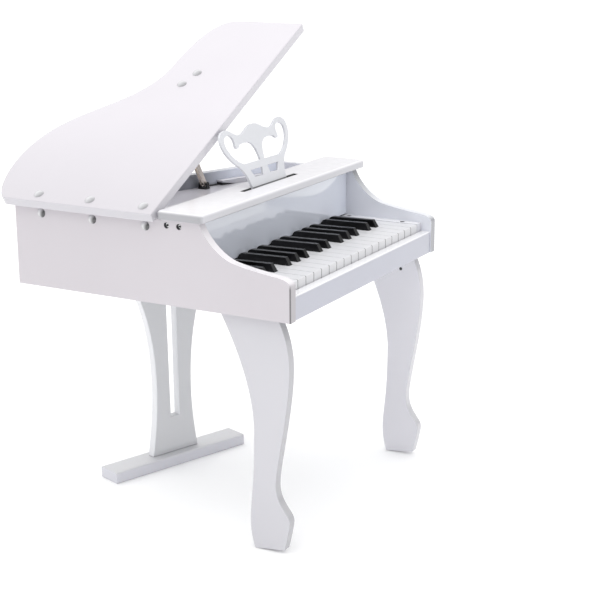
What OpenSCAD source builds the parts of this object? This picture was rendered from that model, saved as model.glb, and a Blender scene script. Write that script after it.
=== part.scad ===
// Miniature grand piano: a wooden case on two cabriole legs and a slotted rear post, with
// working keys that strike tone rods, a hinged lid on a folding stay and a lift-out music stand.
// Millimetres. +X is the player's right, +Y is away from the player, +Z is up.
// The origin is on the floor, under the middle of the whole outline.

/* [Case] */
// Width over the two side panels
case_w = 504; // [496:1:512]
// Length of the left side panel, front to back
case_l = 491; // [486:1:496]
// Height of the case panels
case_h = 132; // [130:1:136]
// Thickness of the side, back and front boards
board_t = 15; // [14:0.5:16]
// Height of the case's top edge above the floor
rim_z = 500; // [480:5:520]
// Angle of the slanted back panel, the rear post and its foot
back_angle = 19.4; // [18:0.2:21]
// Distance from the case front to the back panel's inner face, at the right side panel
back_y_right = 302; // [298:1:306]
// Depth of the open tray under the lid, down to the inner deck
tray_depth = 23.6; // [20:0.2:26]

/* [Lid and top board] */
// Angle of the open lid
lid_angle = 27.5; // [0:0.5:28]
// Thickness of the lid
lid_t = 15; // [13:0.5:15.5]
// Overhang of the lid and the top board past each side panel
overhang = 8.5; // [7:0.5:9]
// Distance from the case front to the lid's front edge
lid_front = 222.8; // [222.6:0.2:226]
// Distance from the case front to the lid's tail
lid_tail = 537; // [530:1:540]
// Thickness of the top board
top_t = 12.5; // [12:0.5:13.5]
// Distance from the case front to the top board's front edge
top_front = 141; // [139:1:143]
// Distance from the case front to the top board's rear edge
top_rear = 222; // [220:0.5:222]

/* [Keyboard] */
// Height of the white keys' top faces below the case's top edge
key_drop = 82; // [81:0.5:83]
// Distance from the case front to the white keys' front faces
key_front = 19.2; // [19:0.1:20]
// Distance from the case front to the black keys' front faces, at the white keys' level
black_front = 70.5; // [68:0.5:73]
// Height of the black keys above the white ones
black_rise = 12.4; // [11:0.2:13]
// Width of a black key at its base
black_w = 10.4; // [9.6:0.2:10.8]
// Width of each key block
block_w = 17; // [16:0.5:18]
// Distance from the case front to the fallboard's front face
fall_front = 162.3; // [162:0.1:163]

/* [Music stand] */
// Lean of the stand from upright
stand_lean = 19.5; // [16:0.5:21]
// Thickness of the stand's plate
stand_t = 4.2; // [3.6:0.2:4.4]
// Place of the stand along the top board, from the middle
stand_x = 7; // [-10:1:10]

/* [Legs] */
// Distance of the rear post from the case front
post_y = 378.7; // [374:0.5:382]
// Length of the rear foot bar
foot_l = 277.5; // [260:0.5:290]
// Depth of the rear foot bar
foot_d = 45.8; // [42:0.2:50]
// Height of the rear foot bar
foot_h = 19.2; // [17:0.2:22]

/* [Hidden] */
WHITE_COUNT = 18;
BLACK_STEPS = [0, 1, 3, 4, 5, 7, 8, 10, 11, 12, 14, 15];
$fn = 64;
EPS = 0.01;
front_y = -lid_tail / 2;
inner_x = case_w / 2 - board_t;
wall_z = rim_z - case_h;

// Colours
WHITE = [0.93, 0.93, 0.95];
COOL_WHITE = [0.84, 0.85, 0.89];
IVORY = [0.95, 0.95, 0.96];
BLACK = [0.04, 0.04, 0.05];
STEEL = [0.62, 0.60, 0.58];
DARK_STEEL = [0.16, 0.16, 0.17];
WOOD = [0.80, 0.66, 0.46];
CAST = [0.30, 0.30, 0.32];

// Case interior
deck_t = 6;
deck_z = rim_z - tray_depth;
floor_t = 10;
floor_z = wall_z + 12;
rail_t = 16.6;
rail_front = 1.9;
rail_z = rim_z - 95.4;
back_slope = tan(back_angle);
back_thick_y = board_t / cos(back_angle);
right_l = back_y_right + back_thick_y + 5;
fall_gap = 2.2;

// Distance from the case front to the back panel's inner face at x
function back_inner(x) = back_y_right + (inner_x - x) * back_slope;

// Keys
key_z = rim_z - key_drop;
key_h = 16;
key_gap = 1.2;
key_pitch = (2 * (inner_x - block_w)) / WHITE_COUNT;
key_left = -(inner_x - block_w);
key_tail = 262;
key_edge_r = 1.6;
pivot_y = 185;
pivot_z = key_z - 10;
pivot_r = 2;
pivot_fit = 0.05;
notch_gap = 0.8;
hammer_w = 7;
hammer_y = 240;
hammer_d = 10;
hammer_top = key_z + 12;

// Tone rods
rod_r = 1.5;
rod_z = hammer_top + 3 + rod_r;
rod_block_y = 203;
rod_block_d = 12;
rod_block_h = 16;
rod_socket = 6;
rod_long = 205;
rod_short = 62;

// Lid hinges and stay, measured from the left panel's outer face, the case front and the rim
hinge_x = 3.4 - case_w / 2;
hinge_z = rim_z - 8;
hinge_ys = [245.7, 343, 439.8];
hinge_l = 40;
hinge_mid_l = 14;
hinge_r = 2.4;
hinge_pin_r = 1.2;
hinge_pin_fit = 0.06;
lid_gap = 1.5;
lid_z = rim_z + lid_gap;
cap_r = 8.4;
cap_h = 4.6;
side_cap_r = 7.4;
side_cap_h = 5;
stay_y = 348.2;
stay_foot = [321.5 - case_w / 2, rim_z - 16];
stay_lid = [334.5 - case_w / 2, rim_z - 8.5];
stay_lower_l = 80.8;
stay_upper_l = 93.5;
stay_arm_w = 8;
stay_plate_t = 1.8;
stay_gap = 0.4;
stay_core_t = 3.6;
stay_pin_r = 1.8;
stay_pin_fit = 0.05;

function bezier(a, b, c, d, n = 20) = [
    for (i = [0:n - 1])
        let (t = i / n, s = 1 - t)
            s * s * s * a + 3 * s * s * t * b + 3 * s * t * t * c + t * t * t * d
];
function mirrored(points) = [
    for (i = [len(points) - 1:-1:0])
        [-points[i][0], points[i][1]]
];

// A point of the lid's closed plane turned to its open place, in X and Z
function opened_point(p) =
    let (dx = p[0] - hinge_x, dz = p[1] - hinge_z)
        [
            hinge_x + dx * cos(lid_angle) - dz * sin(lid_angle),
            hinge_z + dx * sin(lid_angle) + dz * cos(lid_angle)
        ];

// The stay's elbow, on the left of the line from foot to lid bracket
stay_lid_open = opened_point(stay_lid);
stay_span_v = stay_lid_open - stay_foot;
stay_span = norm(stay_span_v);
stay_along = (stay_lower_l * stay_lower_l - stay_upper_l * stay_upper_l + stay_span * stay_span)
    / (2 * stay_span);
stay_off = sqrt(stay_lower_l * stay_lower_l - stay_along * stay_along);
stay_elbow = stay_foot
    + stay_span_v / stay_span * stay_along
    + [-stay_span_v[1], stay_span_v[0]] / stay_span * stay_off;
stay_lower_turn = atan2(stay_elbow[1] - stay_foot[1], stay_elbow[0] - stay_foot[0]);

// ---------- helpers ----------

// Extrudes an outline drawn in Y and Z along +X
module along_x(length) {
    rotate([90, 0, 90])
        linear_extrude(length)
            children();
}

// Extrudes an outline drawn in X and Z along +Y
module along_y(length) {
    translate([0, length, 0])
        rotate([90, 0, 0])
            linear_extrude(length)
                children();
}

// Turns the closed lid and what is fixed to it to the open place
module opened() {
    translate([hinge_x, 0, hinge_z])
        rotate([0, -lid_angle, 0])
            translate([-hinge_x, 0, -hinge_z])
                children();
}

// A low dome on a short rim, its base on z = 0
module dome_cap(radius, height) {
    ball = (radius * radius + height * height) / (2 * height);
    intersection() {
        translate([0, 0, height - ball])
            sphere(ball, $fn = 96);
        cylinder(r = radius, h = height + 1);
    }
}

// A countersunk screw head with a cross recess, its face on z = 0
module screw_head(radius, depth) {
    difference() {
        translate([0, 0, -depth])
            cylinder(r = radius, h = depth);
        for (turn = [0, 90])
            rotate([0, 0, turn])
                translate([-radius * 0.55, -0.4, -depth * 0.6])
                    cube([radius * 1.1, 0.8, depth]);
    }
}

// ---------- case ----------

cheek = concat(
    bezier([152, 0], [146.6, -20], [120, -49.4], [92, -55.6], 16),
    bezier([92, -55.6], [67, -61.4], [42, -64.2], [17.7, -67.4], 12),
    bezier([17.7, -67.4], [8, -69], [0, -72.5], [0, -80], 10),
    [[0, -80], [0, -case_h]]
);

module side_outline(length) {
    translate([front_y, rim_z])
        polygon(concat(cheek, [[length, -case_h], [length, 0]]));
}

// Two sunk bolts on each side, below the top board
bolt_r = 4.6;
bolt_ys = [186.4, 208.1];

module bolt_holes(side) {
    for (y = bolt_ys)
        translate([side * case_w / 2, front_y + y, rim_z - 10])
            rotate([0, 90, 0])
                cylinder(r = bolt_r, h = 18, center = true);
}

module rod_socket_hole() {
    translate([-inner_x - 8, front_y + pivot_y, pivot_z])
        rotate([0, 90, 0])
            cylinder(r = pivot_r, h = 2 * inner_x + 16);
}

// Takes the outer top edge off a side panel, behind the top board
module edge_round(side, length) {
    r = 3.5;
    translate([side * (case_w / 2 - r), front_y + top_rear - 6, rim_z - r])
        along_y(length - top_rear + 7)
            difference() {
                translate([side > 0 ? 0 : -r - 1, 0])
                    square(r + 1);
                circle(r);
            }
}

module left_side_panel() {
    color(WHITE)
        difference() {
            translate([-case_w / 2, 0, 0])
                along_x(board_t)
                    side_outline(case_l);
            edge_round(-1, case_l);
            bolt_holes(-1);
            rod_socket_hole();
            for (y = hinge_ys)
                translate([hinge_x - 2.6, front_y + y - hinge_l / 2 - 0.5, hinge_z - 3.4])
                    cube([board_t, hinge_l + 1, 20]);
        }
}

module right_side_panel() {
    color(WHITE)
        difference() {
            translate([inner_x, 0, 0])
                along_x(board_t)
                    side_outline(right_l);
            edge_round(1, right_l);
            bolt_holes(1);
            rod_socket_hole();
        }
}

// Floor plan between the side panels, from a front line to the back panel's inner face
module inner_plan(from_y) {
    polygon([
        [-inner_x, front_y + from_y],
        [inner_x, front_y + from_y],
        [inner_x, front_y + back_inner(inner_x)],
        [-inner_x, front_y + back_inner(-inner_x)]
    ]);
}

module back_panel() {
    color(COOL_WHITE)
        translate([0, 0, wall_z])
            linear_extrude(case_h)
                polygon([
                    [-inner_x, front_y + back_inner(-inner_x)],
                    [inner_x, front_y + back_inner(inner_x)],
                    [inner_x, front_y + back_inner(inner_x) + back_thick_y],
                    [-inner_x, front_y + back_inner(-inner_x) + back_thick_y]
                ]);
}

module bottom_panel() {
    color(COOL_WHITE)
        translate([0, 0, floor_z])
            linear_extrude(floor_t)
                inner_plan(rail_front + rail_t);
}

module inner_deck() {
    color(WHITE)
        translate([0, 0, deck_z - deck_t])
            linear_extrude(deck_t)
                inner_plan(fall_front + board_t);
}

module front_rail() {
    edge_r = 3;
    top = rail_z - wall_z;
    color(COOL_WHITE)
        translate([-inner_x, front_y + rail_front, wall_z])
            along_x(2 * inner_x)
                polygon(concat(
                    [[0, 0], [rail_t, 0], [rail_t, top]],
                    [for (a = [90:15:180])
                        [edge_r + edge_r * cos(a), top - edge_r + edge_r * sin(a)]]
                ));
}

module key_blocks() {
    color(WHITE)
        for (side = [-1, 1])
            difference() {
                translate([
                    side * (inner_x - block_w / 2) - block_w / 2,
                    front_y + key_front,
                    floor_z + floor_t
                ])
                    cube([block_w, fall_front - key_front, key_z + 0.6 - floor_z - floor_t]);
                for (y = screw_ys)
                    translate([side * (inner_x - block_w / 2), front_y + y, key_z - 1.4])
                        cylinder(r = block_screw_r, h = 10);
            }
}

screw_r = 2.6;
block_screw_r = 4.4;
screw_ys = [50, 152];
leg_screw = [49, rim_z - 163];

module wood_screws() {
    color(DARK_STEEL) {
        for (side = [-1, 1], y = screw_ys)
            translate([side * (inner_x - block_w / 2), front_y + y, key_z + 0.2])
                screw_head(block_screw_r, 1.6);
        for (side = [-1, 1])
            translate([side * (inner_x - board_t - 0.2), front_y + leg_screw[0], leg_screw[1]])
                rotate([0, -side * 90, 0])
                    screw_head(screw_r, 1.6);
    }
}

module fallboard() {
    color(COOL_WHITE)
        translate([-inner_x, front_y + fall_front, key_z + fall_gap])
            cube([2 * inner_x, board_t, rim_z - key_z - fall_gap]);
}

// One rounded corner of the top board
module board_corner(radius, top_r) {
    rotate_extrude($fn = 48)
        union() {
            square([radius - top_r, top_t]);
            translate([0, 1])
                square([radius, top_t - top_r - 1]);
            translate([radius - top_r, top_t - top_r])
                intersection() {
                    circle(top_r, $fn = 32);
                    square(top_r);
                }
            square([radius - 0.5, 2]);
        }
}

stand_slot_l = 173;
stand_slot_front = 6;
stand_slot_rear = 3.2;
stand_slot_d = 9.6;
stand_tongue = 8.9;
stand_slot_y = 184;

// Places a flat outline in the music stand's leaning plane
module in_stand_plane() {
    translate([stand_x, front_y + stand_slot_y, rim_z + top_t])
        rotate([90 - stand_lean, 0, 0])
            children();
}

// The top board reaches a little further past the right panel than past the left one
top_right_extra = 6.5;

module top_board() {
    corner = 9;
    reach = case_w / 2 + overhang - corner;
    color(WHITE)
        difference() {
            hull()
                for (x = [-reach, reach + top_right_extra], y = [top_front + corner, top_rear - corner])
                    translate([x, front_y + y, rim_z])
                        board_corner(corner, 5);
            in_stand_plane()
                translate([-stand_slot_l / 2, -stand_slot_d, -stand_slot_rear])
                    cube([stand_slot_l, stand_slot_d + 6, stand_slot_rear + stand_slot_front]);
        }
}

// ---------- music stand ----------

stand_half = concat(
    bezier([54, 0], [55, 12], [58.5, 22], [69, 34], 8),
    bezier([69, 34], [89, 47.5], [104, 62], [104, 80], 16),
    bezier([104, 80], [104, 91.5], [95, 97.5], [83, 97.5], 12),
    bezier([83, 97.5], [69, 97.5], [61, 85.5], [47, 85.5], 14),
    bezier([47, 85.5], [27, 85.5], [21, 98], [0, 98], 14)
);
stand_loop = concat(
    [[6.6, 39]],
    bezier([55, 39], [71, 43], [93.2, 60], [93.2, 78], 16),
    bezier([93.2, 78], [93.2, 85], [86, 88.7], [78, 88.7], 10),
    bezier([78, 88.7], [68.5, 88.7], [63.5, 79], [66.5, 72], 12),
    bezier([66.5, 72], [68.5, 63], [57, 64], [54, 69.5], 12),
    bezier([54, 69.5], [48, 71.5], [36, 72], [26, 70.5], 8),
    bezier([26, 70.5], [12.5, 68], [7.6, 54], [6.6, 39], 14)
);
stand_window = [[8, 27], [44, 27], [36, 14.8], [11, 14.8]];

module music_stand() {
    color(WHITE)
        in_stand_plane()
            translate([0, 0, -stand_t / 2])
                linear_extrude(stand_t)
                    difference() {
                        polygon(concat(
                            [[54, -stand_tongue]],
                            stand_half,
                            mirrored(stand_half),
                            [[-54, -stand_tongue]]
                        ));
                        for (side = [0, 1])
                            mirror([side, 0]) {
                                polygon(stand_loop);
                                polygon(stand_window);
                            }
                    }
}

// ---------- lid ----------

lid_w = case_w + 2 * overhang;
lid_curve = concat(
    bezier([0, 497], [1.5, 511], [47, lid_tail], [106, lid_tail], 24),
    bezier([106, lid_tail], [243, lid_tail], [250, 401.5], [375, 401.5], 48),
    bezier([375, 401.5], [460, 402], [lid_w, 390], [lid_w, 345], 28)
);
lid_corner = [
    for (a = [0:15:90])
        [2 - 2 * cos(a), 2 - 2 * sin(a)]
];
lid_outline = concat(
    [for (p = lid_corner) [lid_w - p[0], lid_front + p[1]]],
    [for (i = [len(lid_corner) - 1:-1:0]) [lid_corner[i][0], lid_front + lid_corner[i][1]]],
    lid_curve,
    [[lid_w, 345]]
);

module lid() {
    color(WHITE)
        opened()
            translate([-lid_w / 2, front_y, lid_z])
                linear_extrude(lid_t)
                    polygon(lid_outline);
}

// The stay bracket's two bolts lie along the slant of the back panel
stay_bolts = [[326.1, 354.3], [359.6, 343.3]];

module lid_caps() {
    color(WHITE)
        opened()
            translate([-lid_w / 2, front_y, lid_z + lid_t]) {
                for (y = hinge_ys)
                    translate([17, y + 0.6, 0])
                        dome_cap(cap_r, cap_h);
                for (p = stay_bolts)
                    translate([p[0], p[1], 0])
                        dome_cap(cap_r, cap_h);
            }
}

module side_caps() {
    color(WHITE)
        for (y = hinge_ys)
            translate([-case_w / 2, front_y + y, rim_z - 14.2])
                rotate([0, -90, 0])
                    dome_cap(side_cap_r, side_cap_h);
}

// A blackened sleeve in each hole, with the bolt's head and its hexagon socket at the bottom
module side_bolts() {
    wall = 0.6;
    sunk = 3.6;
    socket = 2.4;
    color(DARK_STEEL)
        for (side = [-1, 1], y = bolt_ys)
            translate([side * (case_w / 2 - 0.2), front_y + y, rim_z - 10])
                rotate([0, side * 90, 0])
                    difference() {
                        translate([0, 0, -8.8])
                            cylinder(r = bolt_r, h = 8.8);
                        translate([0, 0, -sunk])
                            cylinder(r = bolt_r - wall, h = sunk + 1);
                        translate([0, 0, -sunk - socket])
                            cylinder(r = 1.9, h = socket + 1, $fn = 6);
                    }
}

// Knuckles of one hinge, as pieces along Y: [start, length]
mid_knuckle = [[-hinge_mid_l / 2, hinge_mid_l]];
end_l = (hinge_l - hinge_mid_l) / 2 - 0.5;
end_knuckles = [[-hinge_l / 2, end_l], [hinge_l / 2 - end_l, end_l]];

module knuckles(pieces) {
    for (k = pieces)
        translate([hinge_x, k[0], hinge_z])
            along_y(k[1])
                circle(hinge_r);
}

module pin_bore(radius) {
    translate([hinge_x, -hinge_l, hinge_z])
        along_y(2 * hinge_l)
            circle(radius);
}

module hinge_case_leaves() {
    plate_z = deck_z + 0.6;
    color(STEEL)
        for (y = hinge_ys)
            translate([0, front_y + y, 0])
                difference() {
                    union() {
                        knuckles(end_knuckles);
                        for (k = end_knuckles)
                            translate([hinge_x, k[0], hinge_z - hinge_r])
                                cube([board_t - 3.4 + 1.5, k[1], 1.6]);
                        translate([-inner_x, -hinge_l / 2, plate_z])
                            cube([1.5, hinge_l, hinge_z - hinge_r + 1.6 - plate_z]);
                    }
                    pin_bore(hinge_pin_r);
                }
}

module hinge_lid_leaves() {
    color(STEEL)
        opened()
            for (y = hinge_ys)
                translate([0, front_y + y, 0])
                    difference() {
                        union() {
                            knuckles(mid_knuckle);
                            translate([0, -hinge_mid_l / 2, 0])
                                along_y(hinge_mid_l)
                                    polygon([
                                        [hinge_x - 1.2, hinge_z + 2],
                                        [hinge_x + 2.2, hinge_z + 0.6],
                                        [hinge_x + 7, lid_z - lid_gap],
                                        [hinge_x + 7, lid_z],
                                        [hinge_x + 3.4, lid_z]
                                    ]);
                            translate([hinge_x + 3.4, -hinge_l / 2, lid_z - 1.3])
                                cube([24, hinge_l, 1.3]);
                        }
                        pin_bore(hinge_pin_r + hinge_pin_fit);
                    }
}

module hinge_pins() {
    color(STEEL)
        for (y = hinge_ys)
            translate([hinge_x, front_y + y - hinge_l / 2, hinge_z])
                along_y(hinge_l)
                    circle(hinge_pin_r);
}

// ---------- lid stay ----------

// A flat arm between two pivots, drawn in X and Z
module arm_outline(from, to, width) {
    v = to - from;
    translate(from)
        rotate(atan2(v[1], v[0])) {
            translate([0, -width / 2])
                square([norm(v), width]);
            circle(d = width);
            translate([norm(v), 0])
                circle(d = width);
        }
}

module pivot_hole(at, radius) {
    translate([at[0], front_y + stay_y - 20, at[1]])
        along_y(40)
            circle(radius);
}

// The stay's layers outwards from its middle: upper arm, lower arm's strips, lid ears, foot cheeks
stay_side_y = stay_core_t / 2 + stay_gap;
stay_ear_y = stay_side_y + stay_plate_t + stay_gap;
stay_ear_t = 1.6;
stay_cheek_y = stay_ear_y + stay_ear_t + stay_gap;
stay_cheek_t = 1.8;

module stay_lower_arm() {
    color(STEEL)
        difference() {
            union() {
                for (y = [-stay_side_y - stay_plate_t, stay_side_y])
                    translate([0, front_y + stay_y + y, 0])
                        along_y(stay_plate_t)
                            arm_outline(stay_foot, stay_elbow, stay_arm_w);
                for (y = [-stay_side_y - stay_plate_t - 1, stay_side_y + stay_plate_t])
                    translate([stay_elbow[0], front_y + stay_y + y, stay_elbow[1]])
                        along_y(1)
                            circle(2.6);
                translate([0, front_y + stay_y - stay_side_y - stay_plate_t - 0.6, 0])
                    along_y(2 * (stay_side_y + stay_plate_t + 0.6))
                        translate(stay_foot)
                            rotate(stay_lower_turn)
                                translate([stay_lower_l * 0.2, 2.4])
                                    circle(1.3);
            }
            pivot_hole(stay_foot, stay_pin_r + stay_pin_fit);
        }
}

module stay_upper_arm() {
    color(STEEL)
        difference() {
            translate([0, front_y + stay_y - stay_core_t / 2, 0])
                along_y(stay_core_t)
                    arm_outline(stay_elbow, stay_lid_open, stay_arm_w);
            pivot_hole(stay_lid_open, stay_pin_r + stay_pin_fit);
            pivot_hole(stay_elbow, stay_pin_r + 0.5);
        }
}

// Bracket under the lid: a plate along the slant, one ear each side of the arms, and the pin
module stay_lid_bracket() {
    plate_t = 1.2;
    color(STEEL)
        opened() {
            translate([stay_lid[0], front_y + stay_y + 0.6, lid_z - plate_t])
                rotate([0, 0, -18])
                    translate([-26, -8, 0])
                        cube([52, 16, plate_t]);
            for (y = [-stay_ear_y - stay_ear_t, stay_ear_y])
                translate([0, front_y + stay_y + y, 0])
                    along_y(stay_ear_t)
                        arm_outline(stay_lid, [stay_lid[0], lid_z - 4.2], 8);
            translate([stay_lid[0], front_y + stay_y - stay_ear_y - stay_ear_t, stay_lid[1]])
                along_y(2 * (stay_ear_y + stay_ear_t))
                    circle(stay_pin_r);
        }
}

// Foot on the deck beside the back panel: a base, a cheek each side and the pin
module stay_foot_bracket() {
    outer = stay_cheek_y + stay_cheek_t;
    color(BLACK) {
        translate([stay_foot[0] - 6, front_y + stay_y - outer, deck_z])
            cube([12, 2 * outer, 2]);
        for (y = [-outer, stay_cheek_y])
            translate([0, front_y + stay_y + y, 0])
                along_y(stay_cheek_t) {
                    translate([stay_foot[0] - 4.5, deck_z])
                        square([9, stay_foot[1] - deck_z]);
                    translate(stay_foot)
                        circle(4.5);
                }
        translate([stay_foot[0], front_y + stay_y - outer, stay_foot[1]])
            along_y(2 * outer)
                circle(stay_pin_r);
    }
}

// ---------- legs ----------

leg_top = floor_z - rim_z;
front_leg_outline = concat(
    bezier([38, leg_top], [23, -140], [11, -172], [11, -207], 16),
    bezier([11, -207], [11, -272], [35.5, -362], [35.5, -393], 24),
    bezier([35.5, -393], [35.5, -424], [11.8, -434], [11.8, -448], 16),
    bezier([11.8, -448], [11.8, -456], [17, -480], [23, -rim_z], 10),
    bezier([72.5, -rim_z], [76, -490], [80, -475], [80, -455], 10),
    bezier([80, -455], [80, -425], [72.2, -400], [72.2, -310], 20),
    bezier([72.2, -310], [72, -240], [112, -160], [136, leg_top], 24),
    [[136, leg_top]]
);

module front_leg(side) {
    x = side > 0 ? inner_x - board_t : -inner_x;
    color(WHITE)
        difference() {
            translate([x, 0, 0])
                along_x(board_t)
                    translate([front_y, rim_z])
                        polygon(front_leg_outline);
            translate([side * (inner_x - board_t), front_y + leg_screw[0], leg_screw[1]])
                rotate([0, 90, 0])
                    cylinder(r = screw_r, h = 2.8, center = true);
        }
}

module left_front_leg() {
    front_leg(-1);
}

module right_front_leg() {
    front_leg(1);
}

// Puts a piece in the rear post's turned frame, its middle over the foot bar
module at_rear_post() {
    translate([255.35 - case_w / 2, front_y + post_y, 0])
        rotate([0, 0, -back_angle])
            children();
}

post_half = concat(
    bezier([48.4, foot_h], [43, 52], [37.2, 90], [37.2, 134], 14),
    bezier([37.2, 134], [37.2, 210], [49, 268], [72, 318], 24),
    bezier([72, 318], [82, 340], [98, 360], [110, floor_z], 12),
    [[110, floor_z]]
);

// The post stands a little left of its foot bar's middle
post_shift = -1.3;

// Where the back panel's inner face lies in the rear post's turned frame
wall_q = (back_inner(255.35 - case_w / 2) - post_y) * cos(back_angle);

module rear_leg_post() {
    color(WHITE)
        at_rear_post()
            difference() {
                translate([post_shift, -5.5, 0])
                    along_y(board_t)
                        difference() {
                            polygon(concat(post_half, mirrored(post_half)));
                            polygon([[-8, 84.8], [9.4, 84.8], [7.6, 311], [-11.8, 311]]);
                        }
                translate([-foot_l, wall_q, wall_z])
                    cube([2 * foot_l, board_t, case_h]);
            }
}

module rear_foot_bar() {
    edge = 2;
    color(WHITE)
        at_rear_post()
            translate([-foot_l / 2, 0, 0])
                along_x(foot_l)
                    polygon([
                        [-foot_d / 2 + 1, 0],
                        [foot_d / 2 - 1, 0],
                        [foot_d / 2, 1],
                        [foot_d / 2, foot_h - edge],
                        [foot_d / 2 - edge, foot_h],
                        [-foot_d / 2 + edge, foot_h],
                        [-foot_d / 2, foot_h - edge],
                        [-foot_d / 2, 1]
                    ]);
}

// ---------- action ----------

// Stop rail under the key fronts, balance rail under the pivot and rest rail under the tails
module key_frame() {
    base = floor_z + floor_t;
    bottom = key_z - key_h;
    half = inner_x - block_w;
    color(WOOD) {
        translate([-half, front_y + 24, base])
            cube([2 * half, 18, bottom - base - 6.4]);
        translate([-half, front_y + pivot_y - 8, base])
            cube([2 * half, 16, bottom - base - 0.4]);
        translate([-half, front_y + key_tail - 14, base])
            cube([2 * half, 14, bottom - base - 0.1]);
    }
}

module key_pivot_rod() {
    color(STEEL)
        rod_socket_hole();
}

// Middle of each key's lever, in X, from left to right
function black_shift(step) =
    let (place = step % 7)
        place == 0 ? -1.5 : place == 1 ? 1.5 : place == 3 ? -3.3 : place == 5 ? 3.3 : 0;
function has_black(step) = len(search(step, BLACK_STEPS)) > 0;
function black_x(step) = key_left + (step + 1) * key_pitch + black_shift(step);
function white_low(i) = has_black(i - 1)
    ? black_x(i - 1) + black_w / 2 + notch_gap
    : key_left + i * key_pitch + key_gap / 2;
function white_high(i) = has_black(i)
    ? black_x(i) - black_w / 2 - notch_gap
    : key_left + (i + 1) * key_pitch - key_gap / 2;
function white_x(i) = (white_low(i) + white_high(i)) / 2;
lever_xs = concat(
    [for (i = [0:WHITE_COUNT - 1]) white_x(i)],
    [for (step = BLACK_STEPS) black_x(step)]
);
function rod_length(x) = rod_long + (rod_short - rod_long) * (x + inner_x) / (2 * inner_x);

module tone_rod_block() {
    color(CAST)
        difference() {
            translate([-inner_x, front_y + rod_block_y, rod_z - rod_block_h / 2])
                cube([2 * inner_x, rod_block_d, rod_block_h]);
            for (x = lever_xs)
                translate([x, front_y + rod_block_y + rod_block_d - rod_socket, rod_z])
                    along_y(rod_socket + 1)
                        circle(rod_r);
        }
}

module tone_rods() {
    color(STEEL)
        for (x = lever_xs)
            translate([x, front_y + rod_block_y + rod_block_d - rod_socket, rod_z])
                along_y(rod_socket + rod_length(x))
                    circle(rod_r);
}

module key_bore() {
    translate([-inner_x, front_y + pivot_y, pivot_z])
        rotate([0, 90, 0])
            cylinder(r = pivot_r + pivot_fit, h = 2 * inner_x);
}

// The small felted hammer on a key's tail
module hammer(x) {
    translate([x - hammer_w / 2, front_y + hammer_y, key_z - 1])
        cube([hammer_w, hammer_d, hammer_top - key_z + 1]);
}

// Side view of a white key, its front top edge rounded
module white_profile() {
    r = key_edge_r;
    translate([front_y, 0])
        polygon(concat(
            [[key_tail, key_z - key_h], [key_tail, key_z]],
            [for (a = [90:15:180]) [key_front + r + r * cos(a), key_z - r + r * sin(a)]],
            [[key_front, key_z - key_h]]
        ));
}

module white_key(i) {
    left = key_left + i * key_pitch + key_gap / 2;
    right = key_left + (i + 1) * key_pitch - key_gap / 2;
    notch = front_y + black_front - notch_gap;
    color(IVORY)
        difference() {
            union() {
                intersection() {
                    translate([left, 0, 0])
                        along_x(right - left)
                            white_profile();
                    translate([0, 0, key_z - key_h - 1])
                        linear_extrude(key_h + 2)
                            polygon([
                                [left, front_y + key_front - 1],
                                [right, front_y + key_front - 1],
                                [right, notch],
                                [white_high(i), notch],
                                [white_high(i), front_y + key_tail + 1],
                                [white_low(i), front_y + key_tail + 1],
                                [white_low(i), notch],
                                [left, notch]
                            ]);
                }
                hammer(white_x(i));
            }
            key_bore();
        }
}

// Side view of a black key: a slanted front and rear on a plain lever
module black_profile() {
    top = key_z + black_rise;
    translate([front_y, 0])
        polygon([
            [black_front + 1, key_z - key_h],
            [black_front, key_z],
            [black_front + 7, top - 0.5],
            [154, top - 2.2],
            [156.6, top - 2.9],
            [158.4, top - 4.6],
            [fall_front - 0.5, key_z + 1.6],
            [key_tail, key_z + 1.6],
            [key_tail, key_z - key_h]
        ]);
}

module black_key(step) {
    x = black_x(step);
    top = key_z + black_rise;
    taper = 1.3;
    color(BLACK)
        difference() {
            union() {
                intersection() {
                    translate([x - black_w / 2, 0, 0])
                        along_x(black_w)
                            black_profile();
                    translate([x, front_y + black_front - 1, 0])
                        along_y(key_tail - black_front + 2)
                            polygon([
                                [-black_w / 2, key_z - key_h - 1],
                                [black_w / 2, key_z - key_h - 1],
                                [black_w / 2, key_z],
                                [black_w / 2 - taper, top + EPS],
                                [-black_w / 2 + taper, top + EPS],
                                [-black_w / 2, key_z]
                            ]);
                }
                hammer(x);
            }
            key_bore();
        }
}

left_side_panel();
right_side_panel();
back_panel();
bottom_panel();
inner_deck();
front_rail();
key_blocks();
fallboard();
top_board();
music_stand();
lid();
lid_caps();
side_caps();
side_bolts();
wood_screws();
hinge_case_leaves();
hinge_lid_leaves();
hinge_pins();
stay_foot_bracket();
stay_lower_arm();
stay_upper_arm();
stay_lid_bracket();
left_front_leg();
right_front_leg();
rear_leg_post();
rear_foot_bar();
key_frame();
key_pivot_rod();
tone_rod_block();
tone_rods();
for (i = [1:WHITE_COUNT])
    white_key(i - 1);
for (i = [1:len(BLACK_STEPS)])
    black_key(BLACK_STEPS[i - 1]);
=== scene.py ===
import math

import bmesh
import bpy
from mathutils import Matrix, Vector

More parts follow.
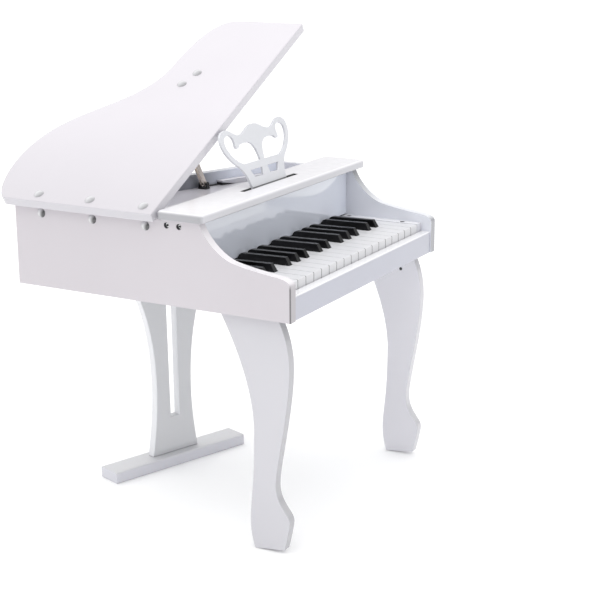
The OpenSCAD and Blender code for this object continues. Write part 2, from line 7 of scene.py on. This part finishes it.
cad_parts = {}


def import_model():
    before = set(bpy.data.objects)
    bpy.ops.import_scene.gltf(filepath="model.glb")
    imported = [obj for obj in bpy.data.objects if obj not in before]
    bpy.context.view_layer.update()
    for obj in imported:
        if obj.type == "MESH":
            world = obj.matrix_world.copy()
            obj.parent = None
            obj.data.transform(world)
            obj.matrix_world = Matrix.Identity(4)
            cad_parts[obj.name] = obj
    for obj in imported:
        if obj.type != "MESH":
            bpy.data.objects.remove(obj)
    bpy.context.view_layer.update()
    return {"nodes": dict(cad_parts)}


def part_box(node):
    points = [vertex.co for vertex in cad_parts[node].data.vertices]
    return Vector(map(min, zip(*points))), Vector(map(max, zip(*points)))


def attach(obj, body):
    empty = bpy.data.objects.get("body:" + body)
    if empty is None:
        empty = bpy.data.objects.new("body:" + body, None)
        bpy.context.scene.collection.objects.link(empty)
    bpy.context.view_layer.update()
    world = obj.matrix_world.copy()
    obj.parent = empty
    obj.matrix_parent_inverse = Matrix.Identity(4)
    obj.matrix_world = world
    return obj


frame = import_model()
nodes = frame["nodes"]
scene = bpy.context.scene
scene.view_settings.view_transform = "Standard"
scene.view_settings.look = "None"


# ---------- camera ----------

CAMERA_PLACE = (-1.9781, -1.2394, 0.9533)
CAMERA_DEGREES = (-60.871, 15.352, -0.282)
CAMERA_LENS = 88.3


def make_camera():
    """A camera at the standard view; its turns are yaw, pitch and roll."""
    yaw, pitch, roll = (math.radians(a) for a in CAMERA_DEGREES)
    back = Vector((math.sin(yaw) * math.cos(pitch), -math.cos(yaw) * math.cos(pitch), math.sin(pitch)))
    right = (-back).cross(Vector((0, 0, 1))).normalized()
    up = right.cross(-back)
    r = right * math.cos(roll) + up * math.sin(roll)
    u = -right * math.sin(roll) + up * math.cos(roll)
    data = bpy.data.cameras.new("camera")
    data.sensor_width = 36
    data.lens = CAMERA_LENS
    data.clip_end = 200
    cam = bpy.data.objects.new("camera", data)
    scene.collection.objects.link(cam)
    m = Matrix((r, u, back)).transposed().to_4x4()
    m.translation = Vector(CAMERA_PLACE)
    cam.matrix_world = m
    scene.camera = cam


# ---------- materials ----------

class Mat:
    """A node material around one Principled shader."""

    def __init__(self, name):
        self.material = bpy.data.materials.new(name)
        self.material.use_nodes = True
        self.tree = self.material.node_tree
        self.tree.nodes.clear()
        out = self.tree.nodes.new("ShaderNodeOutputMaterial")
        self.shader = self.tree.nodes.new("ShaderNodeBsdfPrincipled")
        self.link(self.shader.outputs[0], out.inputs["Surface"])
        self.coord = self.tree.nodes.new("ShaderNodeTexCoord")

    def link(self, a, b):
        self.tree.links.new(a, b)

    def set(self, **values):
        for k, v in values.items():
            self.shader.inputs[k.replace("_", " ")].default_value = v

    def mapped(self, scale=(1, 1, 1)):
        n = self.tree.nodes.new("ShaderNodeMapping")
        n.inputs["Scale"].default_value = scale
        self.link(self.coord.outputs["Object"], n.inputs["Vector"])
        return n.outputs[0]

    def noise(self, scale, detail=3, rough=0.5, stretch=(1, 1, 1), warp=0):
        n = self.tree.nodes.new("ShaderNodeTexNoise")
        n.inputs["Scale"].default_value = scale
        n.inputs["Detail"].default_value = detail
        n.inputs["Roughness"].default_value = rough
        n.inputs["Distortion"].default_value = warp
        self.link(self.mapped(stretch), n.inputs["Vector"])
        return n.outputs["Fac"]

    def ramp(self, fac, stops):
        n = self.tree.nodes.new("ShaderNodeValToRGB")
        e = n.color_ramp.elements
        while len(e) < len(stops):
            e.new(0.5)
        for i, (pos, col) in enumerate(stops):
            e[i].position = pos
            e[i].color = (*col, 1) if len(col) == 3 else col
        self.link(fac, n.inputs[0])
        return n.outputs[0]

    def remap(self, fac, a, b, lo, hi):
        n = self.tree.nodes.new("ShaderNodeMapRange")
        n.inputs["From Min"].default_value = a
        n.inputs["From Max"].default_value = b
        n.inputs["To Min"].default_value = lo
        n.inputs["To Max"].default_value = hi
        self.link(fac, n.inputs["Value"])
        return n.outputs[0]

    def split(self, socket):
        n = self.tree.nodes.new("ShaderNodeSeparateXYZ")
        self.link(socket, n.inputs[0])
        return n.outputs

    def product(self, a, b):
        n = self.tree.nodes.new("ShaderNodeMath")
        n.operation = "MULTIPLY"
        self.link(a, n.inputs[0])
        self.link(b, n.inputs[1])
        return n.outputs[0]

    def absolute(self, a):
        n = self.tree.nodes.new("ShaderNodeMath")
        n.operation = "ABSOLUTE"
        self.link(a, n.inputs[0])
        return n.outputs[0]

    def mixed(self, fac, a, b):
        """From a to b, each a socket or a plain tone."""
        n = self.tree.nodes.new("ShaderNodeMix")
        n.data_type = "RGBA"
        self.link(fac, n.inputs["Factor"])
        for end, value in ((n.inputs[6], a), (n.inputs[7], b)):
            if isinstance(value, tuple):
                end.default_value = (*value, 1)
            else:
                self.link(value, end)
        return n.outputs[2]

    def reach(self, point):
        """Distance in plan from an upright line."""
        off = self.tree.nodes.new("ShaderNodeVectorMath")
        off.operation = "SUBTRACT"
        self.link(self.coord.outputs["Object"], off.inputs[0])
        off.inputs[1].default_value = (*point, 0)
        plan = self.tree.nodes.new("ShaderNodeVectorMath")
        plan.operation = "MULTIPLY"
        self.link(off.outputs[0], plan.inputs[0])
        plan.inputs[1].default_value = (1, 1, 0)
        n = self.tree.nodes.new("ShaderNodeVectorMath")
        n.operation = "LENGTH"
        self.link(plan.outputs[0], n.inputs[0])
        return n.outputs["Value"]

    def scaled(self, colour, amount):
        n = self.tree.nodes.new("ShaderNodeVectorMath")
        n.operation = "SCALE"
        self.link(colour, n.inputs[0])
        self.link(amount, n.inputs["Scale"])
        return n.outputs[0]

    def times(self, a, b):
        n = self.tree.nodes.new("ShaderNodeMix")
        n.data_type = "RGBA"
        n.blend_type = "MULTIPLY"
        n.inputs["Factor"].default_value = 1.0
        self.link(a, n.inputs[6])
        self.link(b, n.inputs[7])
        return n.outputs[2]

    def color(self, socket):
        self.link(socket, self.shader.inputs["Base Color"])

    def rough(self, socket):
        self.link(socket, self.shader.inputs["Roughness"])

    def bump(self, *layers):
        """Layers are (height socket, strength, distance in metres)."""
        last = None
        for height, strength, distance in layers:
            n = self.tree.nodes.new("ShaderNodeBump")
            n.inputs["Strength"].default_value = strength
            n.inputs["Distance"].default_value = distance
            self.link(height, n.inputs["Height"])
            if last is not None:
                self.link(last, n.inputs["Normal"])
            last = n.outputs[0]
        self.link(last, self.shader.inputs["Normal"])


WHITE_TONE = (1, 1, 1)
# The painted shade line on the left panel's rounded front edge fades between these distances from the corner
# and between these heights
SHADE_LINE_REACH = (0.0011, 0.0024)
SHADE_LINE_HEIGHT = (0.418, 0.426)


def around(tone, step):
    return tuple(max(0.0, min(1.0, v + step)) for v in tone)


def shade(tone, amount):
    return tuple(v * amount for v in tone)


def lacquer(name, base, rough=0.22, side=(0.88, 0.88, 0.89), coat=0.5, coat_ior=1.5, peel=1.0, edge=None,
            left=1.0, front=1.0, painted_light_fade=None, back=None, painted_underside_light=1.0):
    """Sprayed white lacquer: a faint orange peel, a slight unevenness of tone and of gloss.
    The other tones paint light and shade: upright faces take the side tint, painted shade; left and front
    scale the faces to -X and to -Y, painted light above 1 and painted shade below; edge paints a dark shade
    line on the rounded front edges below a height and painted shade on the faces to -Y; fade is painted light
    and shade changing slowly along X, back the tone of the faces turned away from it, to +Y, and under scales
    the faces turned down, painted light."""
    m = Mat(name)
    m.set(Coat_Weight=coat, Coat_Roughness=0.06, Coat_IOR=coat_ior, Specular_IOR_Level=0.5)
    broad = m.noise(3.5, 3, 0.5)
    colour = m.ramp(broad, [(0.3, around(base, -0.012)), (0.7, around(base, 0.012))])
    facing = m.split(m.coord.outputs["Normal"])
    # Painted shade: upright faces take the darker side tint.
    colour = m.times(colour, m.ramp(facing[2], [(0.15, side), (0.75, WHITE_TONE)]))
    # Painted light and shade: left and front scale the faces turned to -X and to -Y.
    for socket, amount in ((facing[0], left), (facing[1], front)):
        if amount != 1.0:
            colour = m.scaled(colour, m.remap(socket, -0.9, -0.3, amount, 1.0))
    # Painted light: the faces turned down are scaled by their own factor.
    if painted_underside_light != 1.0:
        colour = m.scaled(colour, m.remap(facing[2], -0.8, -0.5, painted_underside_light, 1.0))
    # Painted light and shade changing slowly along X; faces turned to +Y keep the back tone when one is
    # given.
    if painted_light_fade is not None:
        x0, x1, lo, hi = painted_light_fade
        along = m.scaled(colour, m.remap(m.split(m.coord.outputs["Object"])[0], x0, x1, lo, hi))
        if back is None:
            colour = along
        else:
            colour = m.mixed(m.remap(facing[1], -0.2, 0.4, 0.0, 1.0), along, back)
    # Painted shade: below a height, a dark line along the panel's rounded front edge and darker faces to -Y.
    if edge is not None:
        rim, face = edge
        tone = m.ramp(m.remap(facing[1], -1.0, -0.8, 0.0, 1.0), [(0.0, (face,) * 3), (1.0, WHITE_TONE)])
        near = m.remap(m.reach(PANEL_CORNER), *SHADE_LINE_REACH, rim, 1.0)
        low = m.remap(m.split(m.coord.outputs["Object"])[2], *SHADE_LINE_HEIGHT, 1.0, 0.0)
        colour = m.times(colour, m.mixed(low, WHITE_TONE, m.scaled(tone, near)))
    m.color(colour)
    m.rough(m.remap(m.noise(60, 4, 0.6), 0.3, 0.7, rough - 0.03, rough + 0.05))
    m.bump((m.noise(420, 2, 0.5), 0.1 * peel, 0.0002), (m.noise(38, 2, 0.5), 0.08 * peel, 0.0006))
    return m.material


def plastic(name, base, rough, spec=0.5, side=1.0):
    """Moulded plastic; side darkens the keys' flanks just behind their front ends, painted shade of the gaps
    between the keys.
    """
    m = Mat(name)
    m.set(Specular_IOR_Level=spec)
    colour = m.ramp(m.noise(14, 2), [(0.3, around(base, -0.008)), (0.7, around(base, 0.008))])
    # Painted shade in the gaps between the keys, on the flanks near the front ends.
    if side != 1.0:
        facing = m.split(m.coord.outputs["Normal"])[0]
        flank = m.remap(m.absolute(facing), 0.8, 0.98, 0.0, 1.0)
        along = m.split(m.coord.outputs["Object"])[1]
        front = m.remap(along, KEY_FRONT + 0.0015, KEY_FRONT + 0.0035, 1.0, 0.0)
        colour = m.scaled(colour, m.remap(m.product(flank, front), 0.0, 1.0, 1.0, side))
    m.color(colour)
    m.rough(m.remap(m.noise(25, 2, 0.5), 0.3, 0.7, rough - 0.02, rough + 0.02))
    return m.material


def domed(name, base, towards, low):
    """Glossy domed cap whose flank facing one direction is darkened to low, painted shade on the side turned
    from the light.
    """
    m = Mat(name)
    m.set(Coat_Weight=0.5, Coat_Roughness=0.08, Specular_IOR_Level=0.5)
    colour = m.ramp(m.noise(14, 2), [(0.3, around(base, -0.01)), (0.7, around(base, 0.01))])
    dot = m.tree.nodes.new("ShaderNodeVectorMath")
    dot.operation = "DOT_PRODUCT"
    m.link(m.coord.outputs["Normal"], dot.inputs[0])
    dot.inputs[1].default_value = Vector(towards).normalized()
    # Painted shade on the flank facing the given direction.
    m.color(m.scaled(colour, m.remap(dot.outputs["Value"], 0.15, 0.7, 1.0, low)))
    m.rough(m.remap(m.noise(40, 2), 0.3, 0.7, 0.16, 0.22))
    return m.material


def brushed(name, base, rough, stretch=(1, 1, 40), dark=0.75):
    """Drawn or brushed metal, with fine lines along the short way of the stretch."""
    m = Mat(name)
    m.set(Metallic=1.0)
    lines = m.noise(260, 4, 0.6, stretch)
    stain = m.noise(45, 3)
    clean = m.ramp(lines, [(0.25, shade(base, dark)), (0.75, base)])
    dull = m.ramp(lines, [(0.25, shade(base, dark * 0.85)), (0.75, shade(base, 0.9))])
    m.color(m.mixed(m.remap(stain, 0.35, 0.7, 0.0, 0.6), clean, dull))
    m.rough(m.remap(lines, 0.2, 0.8, rough - 0.06, rough + 0.08))
    m.bump((lines, 0.25, 0.0001))
    return m.material


def blackened(name, base, rough):
    """Blackened or painted steel with slightly worn, lighter patches."""
    m = Mat(name)
    m.set(Metallic=0.4, Specular_IOR_Level=0.5)
    m.color(m.ramp(m.noise(160, 5, 0.65), [(0.35, base), (0.62, shade(base, 1.7)), (0.75, shade(base, 2.6))]))
    m.rough(m.remap(m.noise(120, 4, 0.6), 0.3, 0.7, rough - 0.08, rough + 0.1))
    m.bump((m.noise(900, 3), 0.2, 0.0001))
    return m.material


def wood(name):
    """Bare softwood with its grain along X."""
    m = Mat(name)
    m.set(Specular_IOR_Level=0.3)
    grain = m.noise(30, 6, 0.6, (1, 14, 14), 0.6)
    m.color(m.ramp(grain, [(0.3, (0.52, 0.36, 0.19)), (0.5, (0.70, 0.52, 0.31)), (0.7, (0.80, 0.64, 0.42))]))
    m.rough(m.remap(grain, 0.3, 0.7, 0.55, 0.7))
    m.bump((grain, 0.3, 0.0003))
    return m.material


def casting(name):
    """Rough grey cast metal."""
    m = Mat(name)
    m.set(Metallic=0.7)
    m.color(m.ramp(m.noise(70, 6, 0.7), [(0.3, (0.14, 0.14, 0.15)), (0.7, (0.26, 0.26, 0.28))]))
    m.rough(m.remap(m.noise(200, 4), 0.3, 0.7, 0.5, 0.7))
    m.bump((m.noise(500, 5, 0.7), 0.5, 0.0004))
    return m.material


def felt(name, base):
    """Matt felt with fine fuzz."""
    m = Mat(name)
    m.set(Specular_IOR_Level=0.1, Sheen_Weight=0.5, Sheen_Roughness=0.5)
    fuzz = m.noise(1200, 6, 0.75)
    m.color(m.ramp(fuzz, [(0.3, shade(base, 0.65)), (0.7, base)]))
    m.rough(m.remap(fuzz, 0.3, 0.7, 0.9, 1.0))
    m.bump((fuzz, 0.8, 0.0006))
    return m.material


make_camera()

PANEL_CORNER = tuple(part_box("left_side_panel")[0])[:2]
KEY_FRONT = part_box("white_key_1")[0].y
# All these lacquers stand for the one white lacquer; their base tones, side tints, facing factors and slow
# tone changes differ part by part to paint the light and shade that each part gets.
TOP = lacquer("top_lacquer", (0.835, 0.825, 0.855), side=(0.80, 0.81, 0.83), left=0.60, front=0.87, coat=0.3)
LID = lacquer("lid_lacquer", (0.625, 0.60, 0.64), side=(0.98, 1.0, 1.0), left=1.10,
              painted_light_fade=(-0.26, -0.04, 0.87, 1.0), painted_underside_light=1.4)
# Painted shade: a dark line on the left panel's rounded front edge and darker front faces below it.
SIDE = lacquer("side_lacquer", (0.76, 0.735, 0.765), side=(0.765, 0.75, 0.765), edge=(0.25, 0.70))
RIGHT = lacquer("right_lacquer", (0.755, 0.77, 0.815), side=(0.96, 0.96, 0.98), front=0.43)
BLOCK = lacquer("block_lacquer", (0.88, 0.88, 0.90), side=(0.74, 0.74, 0.77))
WHITE = lacquer("white_lacquer", (0.615, 0.61, 0.635), side=(0.96, 0.96, 0.98), front=0.74)
FOOT = lacquer("foot_lacquer", (0.62, 0.62, 0.64), side=(1.0, 1.0, 1.05))
# right_leg_lacquer is the front legs' white lacquer painted lighter, for the light on the right leg.
LEG_R = lacquer("right_leg_lacquer", (0.66, 0.655, 0.68), side=(1.04, 1.04, 1.07), front=0.80)
STAND = lacquer("stand_lacquer", (0.69, 0.70, 0.735), side=WHITE_TONE)
POST = lacquer("post_lacquer", (0.60, 0.605, 0.625), side=WHITE_TONE, left=1.34)
INNER = lacquer("inner_lacquer", (0.60, 0.63, 0.70), 0.14, side=WHITE_TONE, painted_light_fade=(0.07, 0.145, 0.40, 1.35),
               back=(0.64, 0.64, 0.66))
DECK = lacquer("deck_lacquer", (0.88, 0.87, 0.91), 0.14, painted_light_fade=(-0.10, 0.10, 1.05, 0.9))
RAIL = lacquer("rail_lacquer", (0.84, 0.84, 0.86), side=(0.53, 0.54, 0.61))
FALL = lacquer("fallboard_lacquer", (0.74, 0.775, 0.86), 0.08, side=WHITE_TONE, coat=1.0, coat_ior=1.8,
               peel=0.2, painted_light_fade=(-0.1, 0.2, 0.93, 1.12))
IVORY = plastic("ivory_plastic", (0.67, 0.67, 0.69), 0.3, side=0.15)
EBONY = plastic("ebony_plastic", (0.005, 0.005, 0.007), 0.3, spec=0.25)
LID_CAP = domed("lid_cap_plastic", (0.62, 0.62, 0.64), (-0.35, -0.9, -0.15), 0.62)
SIDE_CAP = domed("side_cap_plastic", (0.66, 0.66, 0.68), (-0.2, -0.95, -0.2), 0.14)
DARK = blackened("dark_steel", (0.035, 0.035, 0.04), 0.4)
BLACK = blackened("black_metal", (0.010, 0.010, 0.011), 0.45)
STEEL = brushed("bare_steel", (0.62, 0.61, 0.60), 0.3, (1, 40, 40))
STAY = brushed("stay_metal", (0.84, 0.76, 0.68), 0.32, (40, 40, 1), 0.85)
WOOD = wood("raw_wood")
CAST = casting("cast_block")
FELT = felt("grey_felt", (0.30, 0.30, 0.32))
GREY_FELT = felt("charcoal_felt", (0.20, 0.20, 0.21))
DARK_FELT_AND_SHADE = felt("dark_felt_and_shade", (0.016, 0.016, 0.018))
BRIGHT = brushed("bright_steel", (0.74, 0.74, 0.75), 0.22, (1, 1, 8), 0.9)

# The material of every CAD node and the width of its eased edges
NODE_LOOK = {
    "left_side_panel": (SIDE, 0.0022), "right_side_panel": (RIGHT, 0.0016), "back_panel": (INNER, 0.001),
    "bottom_panel": (INNER, 0.0005), "inner_deck": (DECK, 0.0003), "front_rail": (RAIL, 0.0008),
    "key_blocks": (BLOCK, 0.0008), "fallboard": (FALL, 0.0005), "top_board": (TOP, 0.0),
    "music_stand": (STAND, 0.0008), "lid": (LID, 0.003), "lid_caps": (LID_CAP, 0.0003),
    "side_caps": (SIDE_CAP, 0.0003),
    "side_bolts": (DARK, 0.0004), "wood_screws": (DARK, 0.00025), "hinge_case_leaves": (STEEL, 0.0002),
    "hinge_lid_leaves": (STEEL, 0.0002), "hinge_pins": (STEEL, 0.00015),
    "stay_foot_bracket": (BLACK, 0.00035),
    "stay_lower_arm": (STAY, 0.0003), "stay_upper_arm": (STAY, 0.0003), "stay_lid_bracket": (STAY, 0.0003),
    "left_front_leg": (WHITE, 0.0018), "right_front_leg": (LEG_R, 0.0018), "rear_leg_post": (POST, 0.0016),
    "rear_foot_bar": (FOOT, 0.001), "key_frame": (WOOD, 0.0006), "key_pivot_rod": (STEEL, 0.0002),
    "tone_rod_block": (CAST, 0.0008), "tone_rods": (STEEL, 0.00015),
}
for i in range(1, 19):
    NODE_LOOK[f"white_key_{i}"] = (IVORY, 0.00025)
for i in range(1, 13):
    NODE_LOOK[f"black_key_{i}"] = (EBONY, 0.0007)


def dress(node, material, edge):
    """The CAD solid keeps its vertices; modifiers ease its edges and shade its curves smooth."""
    o = nodes[node]
    o.data.materials.clear()
    o.data.materials.append(material)
    o.data.polygons.foreach_set("use_smooth", [True] * len(o.data.polygons))
    weld = o.modifiers.new("weld", "WELD")
    weld.merge_threshold = 1e-5
    flat = o.modifiers.new("flat", "DECIMATE")
    flat.decimate_type = "DISSOLVE"
    flat.angle_limit = math.radians(0.5)
    if edge > 0:
        bevel = o.modifiers.new("edge", "BEVEL")
        bevel.limit_method = "ANGLE"
        bevel.angle_limit = math.radians(32)
        bevel.width = edge
        bevel.segments = 3
        bevel.use_clamp_overlap = True
        bevel.harden_normals = False
    normals = o.modifiers.new("normals", "WEIGHTED_NORMAL")
    normals.keep_sharp = False
    normals.weight = 60


for name, (material, edge) in NODE_LOOK.items():
    dress(name, material, edge)


# ---------- small pieces that CAD leaves out ----------

def mesh_object(name, bm, material, body):
    me = bpy.data.meshes.new(name)
    bm.normal_update()
    bm.to_mesh(me)
    bm.free()
    me.materials.append(material)
    o = bpy.data.objects.new(name, me)
    scene.collection.objects.link(o)
    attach(o, body)
    return o


def smooth(o):
    for p in o.data.polygons:
        p.use_smooth = True
    return o


def solid(verts, faces, ease):
    """A closed body from corner points and faces, its edges eased."""
    bm = bmesh.new()
    vs = [bm.verts.new(v) for v in verts]
    for f in faces:
        bm.faces.new([vs[i] for i in f])
    bmesh.ops.recalc_face_normals(bm, faces=bm.faces)
    if ease > 0:
        bmesh.ops.bevel(bm, geom=list(bm.edges), offset=ease, segments=2, affect="EDGES", profile=0.5)
    return bm


BOX_FACES = [(0, 1, 3, 2), (4, 6, 7, 5), (0, 4, 5, 1), (2, 3, 7, 6), (0, 2, 6, 4), (1, 5, 7, 3)]


def box(low, high, ease, place=lambda v: v):
    """A box between two corners, each corner then put in place."""
    corners = [(x, y, z) for x in (low[0], high[0]) for y in (low[1], high[1]) for z in (low[2], high[2])]
    return solid([place(c) for c in corners], BOX_FACES, ease)


def washer(centre, axis, radius, thick, hole, hole_sides=6, segments=48):
    """A flat ring facing along the axis, its hole straight-sided."""
    bm = bmesh.new()
    turn = Vector((0, 0, 1)).rotation_difference(Vector(axis)).to_matrix().to_4x4()
    place = Matrix.Translation(centre) @ turn
    sector = 2 * math.pi / hole_sides
    turns = [2 * math.pi * i / segments for i in range(segments)]
    outer = [radius] * segments
    inner = [hole * math.cos(sector / 2) / math.cos((a % sector) - sector / 2) for a in turns]
    rings = []
    for radii in (outer, inner):
        for z in (0.0, thick):
            spots = [Vector((r * math.cos(a), r * math.sin(a), z)) for r, a in zip(radii, turns)]
            rings.append([bm.verts.new(place @ spot) for spot in spots])
    for a, b in ((0, 1), (1, 3), (3, 2), (2, 0)):
        for i in range(segments):
            k = (i + 1) % segments
            bm.faces.new((rings[a][i], rings[a][k], rings[b][k], rings[b][i]))
    bmesh.ops.recalc_face_normals(bm, faces=bm.faces)
    return bm


# The case as the CAD source has it
CASE_FRONT = -0.2685
CASE_HALF = 0.252
INNER_HALF = 0.237
RIM = 0.500
BACK_RIGHT = 0.302
KEY_TOP = RIM - 0.082
KEY_HEIGHT = 0.016
STOP_GAP = 0.0064
HAMMER_TOP = KEY_TOP + 0.012
HAMMER_Y = CASE_FRONT + 0.240
HAMMER_DEPTH = 0.010
BOLT_YS = (0.1864, 0.2081)
BOLT_DROP = 0.010
SLEEVE_INSET = 0.0002
BOLT_SUNK = 0.0036
SOCKET_R = 0.0019

# Clearance of the small pieces, their eased edges and the slack for level vertices
CLEAR = 0.0001
EASE = 0.0001
LEVEL = 0.0001
SLANT = math.tan(math.radians(19.4))


def wall_y(x):
    """The back panel's inner face at x."""
    return CASE_FRONT + BACK_RIGHT + (INNER_HALF - x) * SLANT


def back_cleat():
    """A slim batten along the foot of the back panel, lifted off the deck at its left end; dark blocks in the
    gap below that end and in the corner to its left paint the shade there.
    """
    low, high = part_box("inner_deck")
    x0, x1, x2 = 0.108, 0.136, high.x - 0.0004
    gap, depth, top = 0.0050, 0.012, high.z + 0.0084
    verts = []
    for x, z in ((x0, high.z + gap), (x1, high.z + CLEAR), (x2, high.z + CLEAR)):
        back = wall_y(x) - 0.0004
        verts += [(x, back - depth, z), (x, back, z), (x, back, top), (x, back - depth, top)]
    faces = [(0, 1, 2, 3), (11, 10, 9, 8)]
    for a in (0, 4):
        for i in range(4):
            faces.append((a + i, a + (i + 1) % 4, a + 4 + (i + 1) % 4, a + 4 + i))
    smooth(mesh_object("back_cleat", solid(verts, faces, 0.0006), TOP, "case"))
    # Painted shade: a black block fills the gap below the batten's lifted left end.
    pad = []
    for x, z in ((x0 + 0.0004, high.z + gap - 0.0002), (x1 - 0.002, high.z + 0.0003)):
        back = wall_y(x) - 0.0008
        pad += [(x, back - depth + 0.0008, high.z + CLEAR), (x, back - depth + 0.0008, z),
                (x, back, high.z + CLEAR), (x, back, z)]
    mesh_object("cleat_gap_shade", solid(pad, BOX_FACES, 0.0), DARK_FELT_AND_SHADE, "case")
    # Painted shade: a black strip along the corner of deck and back panel, left of the batten.
    shade_strip = []
    for x in (0.0785, x0 - 0.0002):
        back = wall_y(x) - 0.0004
        shade_strip += [(x, back - 0.004, high.z + CLEAR), (x, back - 0.004, high.z + 0.0022),
                 (x, back, high.z + CLEAR), (x, back, high.z + 0.0022)]
    mesh_object("corner_painted_shade", solid(shade_strip, BOX_FACES, 0.0), DARK_FELT_AND_SHADE, "case")


LEAN = math.radians(19.5)
SLOT_X, SLOT_Y, SLOT_Z = 0.007, CASE_FRONT + 0.184, RIM + 0.0125


def in_slot(v):
    """From the stand's leaning plane: along the board, up the plane, out to the front."""
    x, up, out = v
    return (SLOT_X + x, SLOT_Y + up * math.sin(LEAN) - out * math.cos(LEAN),
            SLOT_Z + up * math.cos(LEAN) + out * math.sin(LEAN))


def slot_slab(x0, x1, out0, out1, bottom, top=None):
    """A slab of the slot's lining; with no top given it stops level with the board's face."""
    verts = []
    for x in (x0, x1):
        for out in (out0, out1):
            mouth = -out * math.tan(LEAN) - 0.0002
            for up in (bottom, mouth if top is None else top):
                verts.append(in_slot((x, up, out)))
    return solid(verts, BOX_FACES, 0.0)


def stand_slot_lining():
    """Dark felt on the slot's walls, ends and bottom, and grey felt on the stand's tongue."""
    half, deep, front, rear, t, e = 0.0865, 0.0096, 0.006, 0.0032, 0.0006, CLEAR
    inner = half - t
    parts = {
        "front": slot_slab(-inner, inner, front - t, front - e, -deep + t),
        "rear": slot_slab(-inner, inner, -rear + e, -rear + t, -deep + t),
        "floor": slot_slab(-inner, inner, -rear + e, front - e, -deep + e, -deep + t - e),
        "left_end": slot_slab(-half + e, -inner - e, -rear + e, front - e, -deep + e),
        "right_end": slot_slab(inner + e, half - e, -rear + e, front - e, -deep + e),
    }
    for name, bm in parts.items():
        mesh_object(f"stand_slot_felt_{name}", bm, DARK_FELT_AND_SHADE, "case")
    face, tongue = 0.0021, 0.0532
    pads = (("front", face + 0.00002, face + 0.0007, 0.0002),
            ("rear", -face - 0.0005, -face - 0.00002, -0.0010))
    for name, out0, out1, top in pads:
        bm = box((-tongue, -0.0086, out0), (tongue, top, out1), 0.0, in_slot)
        mesh_object(f"stand_tongue_felt_{name}", bm, GREY_FELT, "music_stand")


def bolt_faces():
    """Bright washers on the sunk heads of the side bolts."""
    for side, tag in ((-1, "left"), (1, "right")):
        for k, y in enumerate(BOLT_YS):
            x = side * (CASE_HALF - SLEEVE_INSET - BOLT_SUNK + 0.00004)
            centre = (x, CASE_FRONT + y, RIM - BOLT_DROP)
            bm = washer(centre, (side, 0, 0), radius=0.0037, thick=0.0005, hole=SOCKET_R)
            mesh_object(f"bolt_face_{tag}_{k + 1}", bm, BRIGHT, "case")


def key_felts():
    """A thin felt strip along the stop rail, just clear of the keys at the bottom of their travel."""
    rail_top = KEY_TOP - KEY_HEIGHT - STOP_GAP
    bm = box((-0.2195, -0.2340, rail_top + 0.00005), (0.2195, -0.2275, rail_top + 0.00050), EASE)
    mesh_object("key_felt_front", bm, FELT, "case")


def hammer_tips():
    """A thin felt pad on every hammer, carried by its key."""
    inset, margin = 0.0003, 0.0065
    for kind, count in (("white", 18), ("black", 12)):
        for i in range(1, count + 1):
            name = f"{kind}_key_{i}"
            o = nodes[name]
            places = [o.matrix_world @ v.co for v in o.data.vertices]
            xs = [p.x for p in places if abs(p.z - HAMMER_TOP) < LEVEL and p.y > HAMMER_Y - margin]
            low = (min(xs) + inset, HAMMER_Y + inset, HAMMER_TOP + 0.00003)
            high = (max(xs) - inset, HAMMER_Y + HAMMER_DEPTH - inset, HAMMER_TOP + 0.0004)
            bm = box(low, high, EASE)
            mesh_object(f"hammer_felt_{kind}_{i}", bm, FELT, name)


back_cleat()
stand_slot_lining()
bolt_faces()
key_felts()
hammer_tips()


# ---------- floor, light ----------

def floor():
    """A wide pale floor, a hair below the feet."""
    me = bpy.data.meshes.new("floor")
    me.from_pydata([(-60, -60, 0), (60, -60, 0), (60, 60, 0), (-60, 60, 0)], [], [(0, 1, 2, 3)])
    o = bpy.data.objects.new("floor", me)
    o.location.z = -0.0002
    scene.collection.objects.link(o)
    m = Mat("floor")
    m.set(Roughness=0.6, Specular_IOR_Level=0.2, Emission_Color=(1, 1, 1, 1), Emission_Strength=0.05)
    m.color(m.ramp(m.noise(2.0, 2), [(0.3, (0.955, 0.955, 0.955)), (0.7, (0.965, 0.965, 0.965))]))
    me.materials.append(m.material)


def area(name, loc, target, size, power):
    """A rectangular softbox aimed at a point."""
    data = bpy.data.lights.new(name, "AREA")
    data.shape = "RECTANGLE"
    data.size, data.size_y = size
    data.energy = power
    o = bpy.data.objects.new(name, data)
    o.location = loc
    d = Vector(target) - Vector(loc)
    o.rotation_euler = d.to_track_quat("-Z", "Y").to_euler()
    scene.collection.objects.link(o)


def world():
    """White surroundings, brighter overhead than at the horizon."""
    w = bpy.data.worlds.new("studio")
    scene.world = w
    w.use_nodes = True
    t = w.node_tree
    t.nodes.clear()
    out = t.nodes.new("ShaderNodeOutputWorld")
    bg = t.nodes.new("ShaderNodeBackground")
    coord = t.nodes.new("ShaderNodeTexCoord")
    split = t.nodes.new("ShaderNodeSeparateXYZ")
    t.links.new(coord.outputs["Generated"], split.inputs[0])

    def remap(socket, a, b, lo, hi):
        n = t.nodes.new("ShaderNodeMapRange")
        n.interpolation_type = "SMOOTHSTEP"
        for k, v in zip(("From Min", "From Max", "To Min", "To Max"), (a, b, lo, hi)):
            n.inputs[k].default_value = v
        t.links.new(socket, n.inputs["Value"])
        return n.outputs[0]

    front = remap(split.outputs["Y"], -1.0, 0.2, 0.93, 1.05)
    height = remap(split.outputs["Z"], 0.0, 1.0, 0.58, 1.55)
    both = t.nodes.new("ShaderNodeMath")
    both.operation = "MULTIPLY"
    t.links.new(front, both.inputs[0])
    t.links.new(height, both.inputs[1])
    t.links.new(both.outputs[0], bg.inputs["Strength"])
    bg.inputs["Color"].default_value = (1, 1, 1, 1)
    t.links.new(bg.outputs[0], out.inputs["Surface"])


floor()
world()
area("key_light", (-1.6, -0.6, 3.2), (0, 0, 0.3), (2.6, 2.6), 12)
